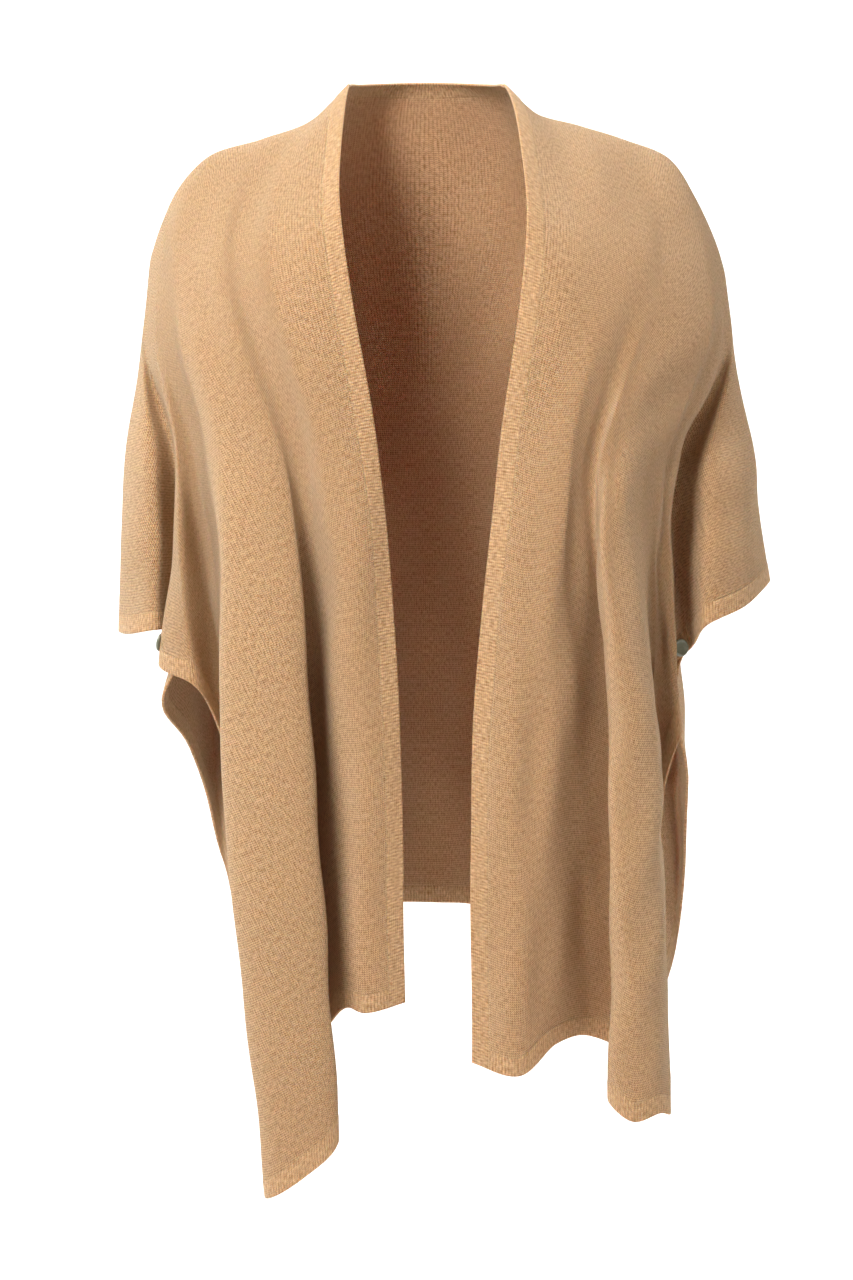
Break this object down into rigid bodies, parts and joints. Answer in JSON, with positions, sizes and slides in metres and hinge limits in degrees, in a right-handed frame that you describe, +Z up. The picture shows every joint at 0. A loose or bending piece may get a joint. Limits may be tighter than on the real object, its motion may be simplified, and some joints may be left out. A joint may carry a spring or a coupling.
{
  "type": "open-front knitted poncho",
  "caption": "Worn open-front poncho of fine knit with drop sleeves, ribbed bands round every edge and a small button under each arm.",
  "frame": {"origin": "middle of the neckline, on the shoulder line, at the height where the cloth rests beside the wearer's neck", "axes": "+X to the right of someone who looks at the front, -Y towards the front, +Z up; the garment hangs down along -Z"},
  "size_m": [0.541, 0.353, 0.8958],
  "materials": {
    "fine_knit": "soft matt fine knit, camel",
    "ribbed_band": "soft matt ribbed knit, camel",
    "button_shell": "satin grey-green shell effect"
  },
  "bodies": {
    "root": {"back": "fine_knit", "front_left": "fine_knit", "front_right": "fine_knit", "neck_band": "ribbed_band", "front_band_left": "ribbed_band", "front_band_right": "ribbed_band", "hem_band_back": "ribbed_band", "hem_band_front_left": "ribbed_band", "hem_band_front_right": "ribbed_band", "side_band_back_left": "ribbed_band", "side_band_back_right": "ribbed_band", "side_band_front_left": "ribbed_band", "side_band_front_right": "ribbed_band", "button_left": "button_shell", "button_right": "button_shell"}
  },
  "joints": []
}
